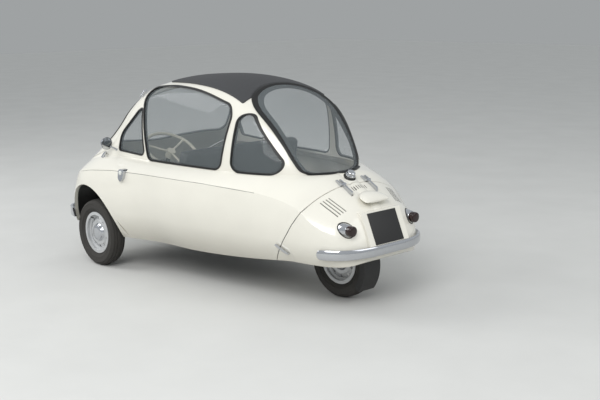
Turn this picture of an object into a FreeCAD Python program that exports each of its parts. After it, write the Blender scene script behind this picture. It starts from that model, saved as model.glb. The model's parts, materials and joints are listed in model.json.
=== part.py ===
import FreeCAD, Part
import math
import os

# Three-wheeled bubble microcar. Millimetres, X forward, Y to the car's left, Z up.
# The origin is on the ground, on the centre plane, midway between the axles.

V = FreeCAD.Vector

# Wheels and axles
WHEELBASE = 1760.0
FRONT_TRACK = 1220.0
TYRE_RADIUS = 230.0
TYRE_WIDTH = 112.0
TYRE_WALL = 9.0
BEAD_RADIUS = 127.0
FLANGE_RADIUS = 144.5
RIM_WIDTH = 80.0
RIM_METAL = 3.0
WELL_DEPTH = 14.0
DISC_HOLES = 10
DISC_HOLE_RADIUS = 9.5
DISC_HOLE_CIRCLE = 98.0
HUB_CAP_RADIUS = 62.0
DRUM_RADIUS = 84.0
KINGPIN_INSET = 70.0
KINGPIN_RADIUS = 9.0
KNUCKLE_RADIUS = 21.0
KNUCKLE_HEIGHT = 76.0
YOKE_PLATE = 14.0
STUB_RADIUS = 14.0
BEAM_RADIUS = 22.0
BEAM_DROP = 17.0
ARCH_TOP = (908.0, 572.0)
ARCH_REAR_RADIUS = 300.0
ARCH_FRONT_RADIUS = 245.0
ARCH_FOOT = 100.0
LINER_FOOT = 272.0
ARCH_INNER = 400.0
ARCH_METAL = 4.0

# Body skin
WALL = 20.0
SHUT_GAP = 5.0
SEAT_GAP = 0.3
SEAL_WIDTH = 10.0
DOME_SEAL_WIDTH = 7.0
SEAL_PROUD = 4.0
GLASS_DEPTH = 5.0
GLASS_THICK = 5.0
UNDER_FLANGE = 26.0
CORNER_RADIUS = 130.0
SIDE_CROWN = 0.11
PANE_CROWN = 0.045
DECK_X = -885.0

# Body sections, each symmetrical about the centre plane
# x, floor z, sill y, waist y, waist z, shoulder crown, belt y, belt z, rail y, rail z, top z
BODY = (
    (1268, 350, 250, 215, 425, 0.03, 200, 440, 130, 462, 468),
    (1252, 322, 450, 385, 465, 0.03, 365, 495, 240, 540, 552),
    (1222, 296, 590, 490, 510, 0.03, 465, 545, 300, 605, 624),
    (1160, 274, 632, 592, 566, 0.03, 545, 610, 350, 690, 716),
    (1050, 252, 640, 658, 645, 0.03, 590, 694, 395, 798, 836),
    (850, 240, 638, 682, 690, 0.03, 578, 762, 425, 972, 1034),
    (600, 236, 604, 675, 705, 0.03, 548, 776, 426, 1176, 1238),
    (300, 235, 522, 650, 710, 0.03, 532, 776, 424, 1250, 1312),
    (0, 236, 505, 625, 710, 0.03, 512, 775, 416, 1244, 1319),
    (-250, 240, 470, 590, 706, 0.03, 485, 775, 402, 1204, 1292),
    (-450, 250, 440, 545, 700, 0.04, 450, 776, 377, 1122, 1240),
    (-600, 262, 420, 510, 690, 0.05, 403, 776, 330, 1010, 1145),
    (-720, 275, 410, 480, 675, 0.06, 315, 777, 250, 920, 1030),
    (-820, 285, 400, 455, 655, 0.08, 185, 777, 145, 850, 905),
    (DECK_X, 288, 392, 440, 635, 0.10, 40, 772, 25, 778, 781),
    (-1000, 288, 372, 410, 560, 0.11, 40, 708, 25, 714, 717),
    (-1100, 290, 350, 370, 500, 0.12, 40, 645, 25, 651, 654),
    (-1170, 294, 322, 322, 470, 0.12, 40, 586, 25, 592, 595),
    (-1216, 300, 270, 265, 430, 0.12, 40, 510, 25, 516, 519),
    (-1244, 314, 196, 190, 400, 0.12, 35, 442, 22, 447, 449),
    (-1256, 338, 110, 105, 375, 0.12, 25, 395, 15, 399, 400),
)

# Window openings seen from the side: x, z, corner radius
SIDE_WINDOW = ((384, 776, 50), (548, 1236, 110), (300, 1270, 3000), (-40, 1256, 3000),
               (-366, 1168, 95), (-304, 776, 60))
QUARTER_WINDOW = ((-377, 775, 65), (-397, 1240, 64), (-769, 775, 58))
VENT_WINDOW = ((412, 797, 35), (511, 1118, 20), (562, 1092, 50), (716, 930, 90), (705, 811, 28))
REAR_DOME = ((-290, 1400, 0), (-303, 1285, 60), (-384, 1212, 45), (-560, 1078, 900),
             (-670, 954, 900), (-786, 775, 70), (-960, 775, 0), (-960, 1400, 0))
SIDE_REACH = 800.0

# Door edge and windscreen opening, as places on the skin of the left half, seen from EYE
# x, y, z, corner radius on the plane of projection
EYE = (150.0, 0.0, 760.0)
PLANE_X = 1000.0
DOOR_EDGE = ((520, 0, 1262, 900), (560, 400, 1205, 190), (690, 485, 1001, 900),
             (812, 557, 803, 300), (1030, 470, 680, 160), (1200, 385, 470, 200),
             (1238, 310, 322, 110), (1252, 0, 305, 500))
SCREEN_EDGE = ((575, 0, 1232, 900), (602, 345, 1150, 170), (700, 440, 985, 900),
               (838, 478, 830, 120), (1092, 0, 788, 700))

# Joint between the lower and the upper body pressing, seen from the side: x, z, corner radius
SEAM = ((1400, 640, 0), (1060, 642, 600), (600, 705, 3000), (-250, 708, 3000), (-1400, 640, 0))

# Plane where the tail of the upper pressing is welded on
TAIL_X = -620.0

# Engine lid shut line seen from the side: x, z, corner radius
LID_EDGE = ((-725, 262, 0), (-882, 472, 200), (-958, 596, 200), (-988, 700, 100), (-992, 830, 0))
LID_AXIS = (-990.0, 727.0)
LID_HINGE_Y = 106.0

# Lid louvres seen from above: first slot's ends, step to the next one, and the short deck slots
LOUVRE = ((-998, 304), (-1112, 273))
LOUVRE_STEP = (-3.5, -19.5)
LOUVRE_COUNT = 4
LOUVRE_WIDTH = 7.0
DECK_SLOTS = (-1006.0, -1034.0, 18.0, 7)

# Leaf-shaped vent behind each front wheel: x, z, corner radius
SIDE_VENT = ((594, 368, 0), (558, 306, 60), (543, 254, 0), (580, 312, 60))

# Fabric roof seen from above: x, y, corner radius on the left half
ROOF_EDGE = ((432, 316, 70), (60, 338, 900), (-378, 349, 10))
FABRIC_PROUD = 5.0

# Door hinges on the left screen pillar: x, y, z of each knuckle
DOOR_HINGES = ((832, 590, 775), (560, 432, 1196))
HINGE_RADIUS = 9.0
HINGE_LENGTH = 46.0

LID_KNUCKLE_RADIUS = 8.0
PIN_GAP = 0.5

# Floor openings seen from above: x, y, corner radius on the left half
CABIN_FLOOR = ((1020, 340, 40), (590, 340, 60), (520, 470, 60), (0, 440, 300), (-380, 370, 40))
ENGINE_FLOOR = ((-500, 380, 40), (-890, 358, 300), (-1120, 318, 200), (-1218, 210, 60),
                (-1224, 80, 30))
PAN_THICK = 6.0

# Bumpers, lamps and other fittings on the skin
BUMPER_GAP = 12.0
BUMPER_THICK = 14.0
REAR_BUMPER_Z = (342.0, 396.0)
REAR_BUMPER_X = -1075.0
FRONT_BUMPER_Z = (320.0, 386.0)
FRONT_BUMPER_X = 1085.0
FRONT_BUMPER_Y = 415.0
POST_RADIUS = 11.0
REAR_POSTS = ((-1130, 345, -60, 150), (-1240, 120, -130, 40))
FRONT_POSTS = ((1218, 480, 120, 60), (1172, 585, 70, 130))
HEADLAMP = (1140.0, 514.0, 492.0, 1203.0, 72.0)
TAIL_LAMP = (270.0, 504.0, 41.0, 34.0)
TAIL_LAMP_X = (-1120.0, -1180.0, -1196.0, -1248.0)
INDICATOR = ((452, 722, 14), (512, 722, 14), (506, 662, 30), (482, 640, 8), (458, 662, 30))
INDICATOR_PROUD = 17.0
PLATE_FACE = ((-1190, 588), (-1271, 398))
PLATE_PANEL_HALF = 165.0
PLATE_HOOD = ((-1080, 655, 0), (-1092, 686, 12), (-1160, 652, 16), (-1172, 622, 6),
              (-1130, 560, 0), (-1080, 600, 0))
PLATE_HOOD_PLAN = ((-1040, 30, 0), (-1090, 108, 30), (-1160, 122, 24), (-1190, 60, 0))
FILLER = (-940.0, 750.0, 42.0, 30.0)
FILLER_NECK = 22.0
DECK_SLOPE = (-0.486, 0.0, 0.874)
MIRROR = (761.0, 616.0, 862.0, 43.0)
LATCH = ((-790, 400, 9), (-862, 352, 9), (-872, 336, 9), (-846, 340, 9), (-784, 384, 9))

# Cabin
SEAT_Y = 485.0
SEAT_CUSHION = ((120, 312, 40), (120, 400, 40), (560, 440, 60), (575, 330, 40))
SEAT_BACK = ((112, 408, 40), (8, 855, 50), (84, 872, 40), (218, 424, 40))
SEAT_BACK_Y = 490.0
REAR_SEAT = ((-118, 400, 30), (-118, 470, 30), (-352, 470, 20), (-392, 652, 20), (-436, 652, 10),
             (-436, 400, 10))
REAR_SEAT_Y = 372.0
BULKHEAD_X = -440.0
SHELF_Z = 640.0
SHELF_END = -905.0
PANEL_THICK = 10.0
STEER_FOOT = (850.0, 250.0, 300.0)
STEER_HUB = (528.0, 250.0, 778.0)
STEER_RADIUS = 185.0
STEER_RIM = 11.0

# Engine and rear suspension
ARM_Y = (-98.0, -70.0)
ARM_PIVOT = (-540.0, 320.0)
ENGINE = (-850.0, -580.0, -330.0, -112.0, 285.0, 530.0)
GUARD_RADIUS = 246.0
GUARD_HALF = 68.0
GUARD_METAL = 3.0
GUARD_LIP = 38.0


def box(x0, x1, y0, y1, z0, z1):
    return Part.makeBox(x1 - x0, y1 - y0, z1 - z0, V(x0, y0, z0))


def rod(start, end, radius):
    a = V(*start)
    b = V(*end)
    return Part.makeCylinder(radius, (b - a).Length, a, b - a)


def cone(start, end, r1, r2):
    a = V(*start)
    b = V(*end)
    return Part.makeCone(r1, r2, (b - a).Length, a, b - a)


def mirrored(shape):
    return shape.mirror(V(0, 0, 0), V(0, 1, 0))


def both_sides(shape):
    return [shape, mirrored(shape)]


def joined(shapes):
    result = shapes[0]
    for shape in shapes[1:]:
        result = result.fuse(shape)
    return result.removeSplitter()


def outline(corners, place):
    """Closed wire of lines and arcs: corners are (u, v, radius), place maps (u, v) to space."""
    ends = []
    count = len(corners)
    for i, (u, v, r) in enumerate(corners):
        pu, pv = corners[i - 1][:2]
        nu, nv = corners[(i + 1) % count][:2]
        back = V(pu - u, pv - v, 0).normalize()
        ahead = V(nu - u, nv - v, 0).normalize()
        half = back.getAngle(ahead) / 2
        if r == 0 or math.pi / 2 - half < 0.01:
            ends.append((V(u, v, 0), None, V(u, v, 0)))
            continue
        reach = min(r / math.tan(half), 0.48 * math.hypot(pu - u, pv - v),
                    0.48 * math.hypot(nu - u, nv - v))
        fit = reach * math.tan(half)
        bisector = (back + ahead).normalize()
        middle = V(u, v, 0) + bisector * (fit / math.sin(half) - fit)
        ends.append((V(u, v, 0) + back * reach, middle, V(u, v, 0) + ahead * reach))
    edges = []
    for i, (first, middle, last) in enumerate(ends):
        if middle is not None:
            edges.append(Part.Arc(place(first), place(middle), place(last)).toShape())
        following = ends[(i + 1) % count][0]
        if (following - last).Length > 0.01:
            edges.append(Part.makeLine(place(last), place(following)))
    return Part.Wire(edges)


def grown(corners, distances):
    """Corners moved outwards along their bisectors, each by its own distance."""
    area = 0.0
    count = len(corners)
    for i in range(count):
        u, v = corners[i][:2]
        nu, nv = corners[(i + 1) % count][:2]
        area += u * nv - nu * v
    turn = 1 if area > 0 else -1
    result = []
    for i, (u, v, r) in enumerate(corners):
        pu, pv = corners[i - 1][:2]
        nu, nv = corners[(i + 1) % count][:2]
        n1 = V((v - pv) * turn, (pu - u) * turn, 0).normalize()
        n2 = V((nv - v) * turn, (u - nu) * turn, 0).normalize()
        step = (n1 + n2) * (distances[i] / (1 + n1.dot(n2)))
        concave = n1.cross(n2).z * turn < 0
        radius = max(r + (-distances[i] if concave else distances[i]), 0.5) if r else 0
        result.append((u + step.x, v + step.y, radius))
    return result


def side_prism(corners, y0, y1, grow=0.0):
    """Outline given as x, z and pushed along Y."""
    shape = grown(corners, [grow] * len(corners)) if grow else corners
    wire = outline(shape, lambda p: V(p.x, y0, p.y))
    return Part.Face(wire).extrude(V(0, y1 - y0, 0))


def plan_prism(corners, z0, z1, grow=0.0):
    """Outline given as x, y and pushed along Z."""
    shape = grown(corners, [grow] * len(corners)) if grow else corners
    wire = outline(shape, lambda p: V(p.x, p.y, z0))
    return Part.Face(wire).extrude(V(0, 0, z1 - z0))


def both_halves(corners):
    """A left-hand run of corners from front to back, closed by its mirror image."""
    right = [(u, -v, r) for u, v, r in reversed(corners) if abs(v) > 0.01]
    return list(corners) + right


def eye_cone(stations, grow=0.0, near=0.2, far=1.9):
    """Solid cone from EYE through places on the skin, so that its sides cut the skin squarely."""
    left = []
    gaps = []
    for x, y, z, r in stations:
        k = (PLANE_X - EYE[0]) / (x - EYE[0])
        left.append((y * k, EYE[2] + (z - EYE[2]) * k, r))
        gaps.append(grow * k)
    corners = left + [(-u, v, r) for u, v, r in reversed(left) if abs(u) > 0.01]
    gaps = gaps + [g for g, c in zip(reversed(gaps), reversed(left)) if abs(c[0]) > 0.01]
    shape = grown(corners, gaps) if grow else corners
    wires = []
    for k in (near, far):
        x = EYE[0] + (PLANE_X - EYE[0]) * k
        wires.append(outline(shape, lambda p: V(x, p.x * k, EYE[2] + (p.y - EYE[2]) * k)))
    return Part.makeLoft(wires, True, True)


def circle_through(p, q, rise):
    """Centre and radius of the arc from p to q that bulges outwards by rise."""
    du, dv = q[0] - p[0], q[1] - p[1]
    chord = math.hypot(du, dv)
    radius = (chord * chord / 4 + rise * rise) / (2 * rise)
    back = (radius - rise) / chord
    return ((p[0] + q[0]) / 2 - dv * back, (p[1] + q[1]) / 2 + du * back), radius


def circles_meet(c1, r1, c2, r2):
    """The outer crossing point of two circles."""
    du, dv = c2[0] - c1[0], c2[1] - c1[1]
    d = math.hypot(du, dv)
    a = (r1 * r1 - r2 * r2 + d * d) / (2 * d)
    h = math.sqrt(max(r1 * r1 - a * a, 0))
    base = (c1[0] + a * du / d, c1[1] + a * dv / d)
    crossings = [(base[0] - s * h * dv / d, base[1] + s * h * du / d) for s in (1, -1)]
    return max(crossings, key=sum)


def on_circle(centre, radius, towards):
    du, dv = towards[0] - centre[0], towards[1] - centre[1]
    k = radius / math.hypot(du, dv)
    return (centre[0] + du * k, centre[1] + dv * k)


def bulged(p, q, rise):
    du, dv = q[0] - p[0], q[1] - p[1]
    k = rise / math.hypot(du, dv)
    return ((p[0] + q[0]) / 2 + dv * k, (p[1] + q[1]) / 2 - du * k)


def section(x, points, crown, corner):
    """Body section from lines and arcs: sill, waist, belt, rail and top of the left half."""
    sill, waist, belt, rail, top = points
    rise = top[1] - rail[1]
    roof_radius = (rail[0] ** 2 + rise ** 2) / (2 * rise)
    roof_centre = (0, top[1] - roof_radius)
    pane = math.hypot(belt[0] - rail[0], rail[1] - belt[1])
    pane_centre, pane_radius = circle_through(belt, rail, PANE_CROWN * pane)
    r = min(corner, 0.55 * pane)
    bend = circles_meet(pane_centre, pane_radius - r, roof_centre, roof_radius - r)
    low = on_circle(pane_centre, pane_radius, bend)
    high = on_circle(roof_centre, roof_radius, bend)
    arcs = (
        (sill, bulged(sill, waist, SIDE_CROWN * math.dist(sill, waist)), waist),
        (waist, bulged(waist, belt, crown * math.dist(waist, belt)), belt),
        (belt, on_circle(pane_centre, pane_radius, ((belt[0] + low[0]) / 2, (belt[1] + low[1]) / 2)), low),
        (low, on_circle(bend, r, ((low[0] + high[0]) / 2, (low[1] + high[1]) / 2)), high),
    )
    edges = [Part.makeLine(V(x, -sill[0], sill[1]), V(x, sill[0], sill[1]))]
    for arc in arcs:
        edges.append(Part.Arc(*[V(x, y, z) for y, z in arc]).toShape())
    edges.append(Part.Arc(V(x, high[0], high[1]), V(x, 0, top[1]), V(x, -high[0], high[1])).toShape())
    for arc in reversed(arcs):
        edges.append(Part.Arc(*[V(x, -y, z) for y, z in reversed(arc)]).toShape())
    return Part.Wire(edges)


def section_points(row):
    x, zf, ys, yw, zw, crown, yb, zb, yr, zr, zt = row
    return [(ys, zf), (yw, zw), (yb, zb), (yr, zr), (0.0, zt)]


def normals(points):
    """Outward directions at the five section points, from the chords on each side."""
    chain = [(-points[0][0], points[0][1])] + points + [(-points[3][0], points[3][1])]
    result = []
    for i in range(1, 6):
        n1 = V(chain[i][1] - chain[i - 1][1], chain[i - 1][0] - chain[i][0], 0).normalize()
        n2 = V(chain[i + 1][1] - chain[i][1], chain[i][0] - chain[i + 1][0], 0).normalize()
        result.append(((n1 + n2).normalize(), (n1 + n2).Length / 2))
    return result


def skin(depth):
    """Closed body volume whose surface lies depth inside the outer skin, all over."""
    wires = []
    stations = [row[0] for row in BODY]
    for i, row in enumerate(BODY):
        points = section_points(row)
        facing = normals(points)
        before, after = max(i - 1, 0), min(i + 1, len(BODY) - 1)
        span = stations[after] - stations[before]
        slopes = []
        for k in range(5):
            p = section_points(BODY[after])[k]
            q = section_points(BODY[before])[k]
            n = facing[k][0]
            slopes.append(((p[0] - q[0]) * n.x + (p[1] - q[1]) * n.y) / span)
        mean = sum(slopes) / 5
        shift = depth * mean / math.sqrt(1 + mean * mean)
        moved = []
        for (y, z), (n, lean), slope in zip(points, facing, slopes):
            step = (depth * math.sqrt(1 + slope * slope) - slope * shift) / max(lean, 0.5)
            moved.append((y - n.x * step, z - n.y * step))
        moved[4] = (0.0, moved[4][1])
        wires.append(section(row[0] + shift, moved, row[5], CORNER_RADIUS - depth))
    split = stations.index(DECK_X)
    front = Part.makeLoft(wires[:split + 1], True, False)
    rear = Part.makeLoft(wires[split:], True, False)
    return front.fuse(rear)


def wheel_profile(points, arcs):
    """Face in the Y-radius plane from a closed run of points; arcs give a middle point per edge."""
    edges = []
    for i, (y, r) in enumerate(points):
        a = V(0, y, r)
        ny, nr = points[(i + 1) % len(points)]
        b = V(0, ny, nr)
        if i in arcs:
            my, mr = arcs[i]
            edges.append(Part.Arc(a, V(0, my, mr), b).toShape())
        else:
            edges.append(Part.makeLine(a, b))
    return Part.Face(Part.Wire(edges))


def spun(face, x, y, z):
    """The profile turned about the wheel axle and moved to its place."""
    solid = face.revolve(V(0, 0, 0), V(0, 1, 0), 360)
    solid.translate(V(x, y, z))
    return solid


def tyre(x, y):
    half = TYRE_WIDTH / 2
    toe = RIM_WIDTH / 2 - RIM_METAL - 2.5
    seat = BEAD_RADIUS + SEAT_GAP
    shoulder = half - 12
    wall = TYRE_WALL
    top = TYRE_RADIUS
    outer = [(-toe, seat), (-toe, seat + 22), (-shoulder, top - 8), (shoulder, top - 8),
             (toe, seat + 22), (toe, seat)]
    inner = [(toe - wall, seat), (toe - wall, seat + 24), (shoulder - wall, top - 8 - wall),
             (-shoulder + wall, top - 8 - wall), (-toe + wall, seat + 24), (-toe + wall, seat)]
    bulge = (seat + top) / 2 + 6
    arcs = {1: (-half, bulge), 2: (0, top), 3: (half, bulge),
            7: (half - wall, bulge), 8: (0, top - wall - 3), 9: (-half + wall, bulge)}
    return spun(wheel_profile(outer + inner, arcs), x, y, TYRE_RADIUS)


def rim(x, y, side):
    """Pressed wheel: barrel, dished and slotted disc, domed cap and brake drum."""
    half = RIM_WIDTH / 2
    t = RIM_METAL
    well = BEAD_RADIUS - WELL_DEPTH
    top = [(-half, FLANGE_RADIUS), (-half + t, FLANGE_RADIUS), (-half + t, BEAD_RADIUS),
           (-half + 18, BEAD_RADIUS), (-half + 24, well), (half - 24, well),
           (half - 18, BEAD_RADIUS), (half - t, BEAD_RADIUS), (half - t, FLANGE_RADIUS),
           (half, FLANGE_RADIUS)]
    bottom = [(half, BEAD_RADIUS - t), (half - 20, BEAD_RADIUS - t), (half - 26, well - t),
              (-half + 26, well - t), (-half + 20, BEAD_RADIUS - t), (-half, BEAD_RADIUS - t)]
    barrel = spun(wheel_profile(top + bottom, {}), x, y, TYRE_RADIUS)
    disc = [(10, well - t + 1), (24, 82), (20, HUB_CAP_RADIUS - 6), (20, 0), (16, 0),
            (16, HUB_CAP_RADIUS - 8), (20, 80), (6, well - t + 1)]
    disc = spun(wheel_profile([(side * v, r) for v, r in disc], {}), x, y, TYRE_RADIUS)
    for i in range(DISC_HOLES):
        angle = 2 * math.pi * i / DISC_HOLES
        slot = rod((0, -60, DISC_HOLE_CIRCLE), (0, 60, DISC_HOLE_CIRCLE), DISC_HOLE_RADIUS)
        slot.rotate(V(0, 0, 0), V(0, 1, 0), math.degrees(angle))
        slot.translate(V(x, y, TYRE_RADIUS))
        disc = disc.cut(slot)
    dome = Part.makeSphere(HUB_CAP_RADIUS * 1.9, V(x, y + side * (44 - HUB_CAP_RADIUS * 1.9), TYRE_RADIUS))
    cap = rod((x, y + side * 17, TYRE_RADIUS), (x, y + side * 50, TYRE_RADIUS), HUB_CAP_RADIUS - 8)
    cap = cap.common(dome)
    ring = cone((x, y + side * 17, TYRE_RADIUS), (x, y + side * 28, TYRE_RADIUS),
                HUB_CAP_RADIUS, HUB_CAP_RADIUS - 6)
    drum = spun(wheel_profile([(side * 16, STUB_RADIUS + PIN_GAP), (side * 16, 58),
                               (side * 6, DRUM_RADIUS), (side * -34, DRUM_RADIUS),
                               (side * -34, STUB_RADIUS + PIN_GAP)], {}), x, y, TYRE_RADIUS)
    return joined([barrel, disc, ring, cap, drum])


def arch_prism(y0, y1, inset=0.0, grow=0.0):
    """Wheel arch: an arc over each side of its top, then straight down to its foot."""
    x, z = ARCH_TOP
    z += grow - inset
    rear = ARCH_REAR_RADIUS + grow - inset
    front = ARCH_FRONT_RADIUS + grow - inset
    k = math.sqrt(0.5)
    top, back, ahead = V(x, y0, z), V(x - rear, y0, z - rear), V(x + front, y0, z - front)
    over_back = V(x - rear * k, y0, z - rear + rear * k)
    over_front = V(x + front * k, y0, z - front + front * k)
    low_back, low_front = V(x - rear, y0, ARCH_FOOT), V(x + front, y0, ARCH_FOOT)
    edges = [Part.makeLine(low_back, back), Part.Arc(back, over_back, top).toShape(),
             Part.Arc(top, over_front, ahead).toShape(), Part.makeLine(ahead, low_front),
             Part.makeLine(low_front, low_back)]
    return Part.Face(Part.Wire(edges)).extrude(V(0, y1 - y0, 0))


def layer(outside, inside, cutter):
    return outside.common(cutter).cut(inside)


def save(name, shapes):
    """Write one node; a node may hold several solids that do not touch."""
    if not isinstance(shapes, list):
        shapes = [shapes]
    solids = [solid for shape in shapes for solid in shape.Solids]
    shape = solids[0] if len(solids) == 1 else Part.makeCompound(solids)
    if not solids or not shape.isValid():
        raise RuntimeError(name + " is not a valid solid")
    shape.exportStep("parts/" + name + ".step")
    print(name, len(solids), round(sum(solid.Volume for solid in solids) / 1e6, 3))


os.makedirs("parts", exist_ok=True)

FRONT_X = WHEELBASE / 2
REAR_X = -WHEELBASE / 2
HUB_Y = FRONT_TRACK / 2
PIN_Y = HUB_Y - KINGPIN_INSET

OUTER = skin(0)
INNER = skin(WALL)
INSIDE = skin(WALL + SEAT_GAP)
ABOVE_FLOOR = skin(WALL + SEAT_GAP + PAN_THICK)
SEATED = skin(-SEAT_GAP)
PROUD = skin(-SEAL_PROUD)
GLASS_OUT = skin(GLASS_DEPTH)
GLASS_IN = skin(GLASS_DEPTH + GLASS_THICK)
BUMPER_OUT = skin(-BUMPER_GAP - BUMPER_THICK)
BUMPER_IN = skin(-BUMPER_GAP)

# Wall of the whole body, opened for the windows, roof, wheel arches and floor
y1 = SIDE_REACH
side_windows = [SIDE_WINDOW, QUARTER_WINDOW, VENT_WINDOW]
arches = [arch_prism(s * ARCH_INNER, s * y1) for s in (1, -1)]
openings = [side_prism(window, -y1, y1) for window in side_windows]
openings.append(side_prism(REAR_DOME, -y1, y1))
openings.append(side_prism(SIDE_VENT, -y1, y1))
openings += arches
openings.append(plan_prism(both_halves(CABIN_FLOOR), 150, 420))
openings.append(plan_prism(both_halves(ENGINE_FLOOR), 150, 330))
openings.append(plan_prism(both_halves(ROOF_EDGE), 1000, 1500, -34))
wall = OUTER.cut(INNER)
for opening in openings:
    wall = wall.cut(opening)

# Front door with the windscreen in it, engine lid, and the shell round both
behind = ((-1500, 830, 0), (-1500, 100, 0), (-725, 100, 0))
door = wall.common(eye_cone(DOOR_EDGE)).cut(eye_cone(SCREEN_EDGE))
lid = wall.common(side_prism(LID_EDGE + behind, -y1, y1))
slots = []
for i in range(LOUVRE_COUNT):
    (ax, ay), (bx, by) = [(u + LOUVRE_STEP[0] * i, v + LOUVRE_STEP[1] * i) for u, v in LOUVRE]
    half = LOUVRE_WIDTH / 2
    slots += both_sides(plan_prism(((ax, ay - half, 0), (ax, ay + half, 0), (bx, by + half, 0),
                                    (bx, by - half, 0)), 450, 760))
front, back, pitch, count = DECK_SLOTS
for i in range(count):
    y = (i - (count - 1) / 2) * pitch
    slots.append(box(back, front, y - LOUVRE_WIDTH / 2, y + LOUVRE_WIDTH / 2, 600, 760))
lid = lid.cut(Part.makeCompound(slots))
x, y, z, front, radius = HEADLAMP
buckets = [rod((x, s * y, z), (x + 200, s * y, z), radius + SEAT_GAP) for s in (1, -1)]
shell = wall.cut(eye_cone(DOOR_EDGE, SHUT_GAP))
for cutter in [side_prism(LID_EDGE + behind, -y1, y1, SHUT_GAP)] + buckets:
    shell = shell.cut(cutter)
headlamps = []
for s in (1, -1):
    lens = Part.makeSphere(150).common(rod((110, 0, 0), (160, 0, 0), radius - 8))
    lens.translate(V(front - 128, s * y, z))
    headlamps.append(joined([rod((x, s * y, z), (front, s * y, z), radius), lens]))
above = side_prism(SEAM + ((-1400, 1500, 0), (1400, 1500, 0)), -y1, y1)
save("body_shell", shell.cut(above))
upper = shell.common(above)
tail = box(-1400, TAIL_X, -y1, y1, 500, 1500)
save("body_upper", upper.cut(tail))
save("rear_deck", upper.common(tail))
save("front_door", door)
save("engine_lid", lid)
save("headlamps", headlamps)

# Glass, gaskets and fabric roof follow the skin
GASKET = PROUD.cut(INNER)
save("windscreen", layer(GLASS_OUT, GLASS_IN, eye_cone(SCREEN_EDGE, -SEAL_WIDTH - SEAT_GAP)))
frame = eye_cone(SCREEN_EDGE, -SEAT_GAP).cut(eye_cone(SCREEN_EDGE, -SEAL_WIDTH, 0.19, 1.95))
save("windscreen_seal", GASKET.common(frame))

panes = []
rings = []
for window in side_windows:
    ring = side_prism(window, -y1, y1, -SEAT_GAP)
    rings.append(ring.cut(side_prism(window, -y1 - 1, y1 + 1, -SEAL_WIDTH)))
    panes.append(side_prism(window, -y1, y1, -SEAL_WIDTH - SEAT_GAP))
save("side_glass", layer(GLASS_OUT, GLASS_IN, panes))
save("side_window_seals", GASKET.common(rings))

ring = side_prism(REAR_DOME, -y1, y1, -SEAT_GAP)
ring = ring.cut(side_prism(REAR_DOME, -y1 - 1, y1 + 1, -DOME_SEAL_WIDTH))
dome_edge = side_prism(REAR_DOME, -y1, y1, -DOME_SEAL_WIDTH - SEAT_GAP)
save("rear_dome", layer(GLASS_OUT, GLASS_IN, dome_edge))
save("rear_dome_seal", GASKET.common(ring))

fabric = layer(skin(-FABRIC_PROUD), SEATED, plan_prism(both_halves(ROOF_EDGE), 1000, 1500))
fabric = fabric.cut([side_prism(REAR_DOME, -y1, y1, 3), eye_cone(DOOR_EDGE, SHUT_GAP)])
save("fabric_roof", fabric)

# Bumpers, side lamps and small fittings on the skin
rear_box = box(-1400, REAR_BUMPER_X, -y1, y1, *REAR_BUMPER_Z)
rear_bumper = [layer(BUMPER_OUT, BUMPER_IN, rear_box)]
front_box = box(FRONT_BUMPER_X, 1400, FRONT_BUMPER_Y, y1, *FRONT_BUMPER_Z)
front_bumpers = both_sides(layer(BUMPER_OUT, BUMPER_IN, front_box))


def posts(table, mates, heights):
    middle = sum(heights) / 2
    result = []
    for x, y, dx, dy in table:
        for s in (1, -1):
            post = rod((x, s * y, middle), (x + dx, s * (y + dy), middle), POST_RADIUS)
            result.append(post.common(BUMPER_IN).cut(OUTER))
    solids = [solid for shape in result for solid in shape.Solids]
    return joined(mates + solids)


save("rear_bumper", posts(REAR_POSTS, rear_bumper, REAR_BUMPER_Z))
save("front_bumpers", posts(FRONT_POSTS, front_bumpers, FRONT_BUMPER_Z))

shield = side_prism(INDICATOR, 0, y1)
save("side_indicators", both_sides(layer(skin(-INDICATOR_PROUD), OUTER, shield)))

y, z, bullet, lens = TAIL_LAMP
xs = TAIL_LAMP_X
lamps = []
for s in (1, -1):
    nose = joined([cone((xs[0], s * y, z), (xs[0] - 18, s * y, z), bullet - 20, bullet - 6),
                   cone((xs[0] - 18, s * y, z), (xs[1], s * y, z), bullet - 6, bullet)])
    ring = rod((xs[1], s * y, z), (xs[2], s * y, z), bullet)
    red = cone((xs[2], s * y, z), (xs[3], s * y, z), lens, lens - 8)
    foot = rod((xs[1] + 12, s * y, z), (xs[1] + 12, s * (y - 40), z - 60), 12)
    lamps.append(joined([nose, ring, red, foot]).cut(OUTER).Solids[0])
save("tail_lamps", lamps)

(tx, tz), (bx, bz) = PLATE_FACE
panel = side_prism(((tx, tz, 4), (bx, bz, 4), (bx + 90, bz, 0), (tx + 90, tz, 0)),
                   -PLATE_PANEL_HALF, PLATE_PANEL_HALF)
save("plate_panel", panel.cut(OUTER))
hood = side_prism(PLATE_HOOD, -y1, y1).common(plan_prism(both_halves(PLATE_HOOD_PLAN), 500, 750))
save("plate_lamp", hood.cut(OUTER))

strip = side_prism(LATCH, 0, y1)
lever = layer(BUMPER_IN, skin(-SHUT_GAP - 0.5), strip)
foot = rod((-862, 200, 347), (-862, 700, 347), 8).common(BUMPER_IN).cut(OUTER)
save("lid_latches", both_sides(joined([lever, foot.common(strip)])))

x, z, radius, height = FILLER
foot = V(x, 0, z) - V(*DECK_SLOPE) * 12
neck = Part.makeCylinder(radius - 6, FILLER_NECK, foot, V(*DECK_SLOPE)).cut(OUTER)
cap = Part.makeCone(radius, radius - 9, height - 10, foot + V(*DECK_SLOPE) * (FILLER_NECK - 1), V(*DECK_SLOPE))
save("filler_cap", joined([neck, cap]))

x, y, z, radius = MIRROR
head = cone((x + 14, y, z), (x - 14, y, z), radius - 10, radius)
stalk = rod((x - 28, y - 76, z - 50), (x + 2, y, z - 8), 7)
base = rod((x - 34, y - 88, z - 62), (x - 26, y - 70, z - 42), 16)
save("mirror", joined([head, stalk.cut(OUTER), base.cut(OUTER)]))

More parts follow.
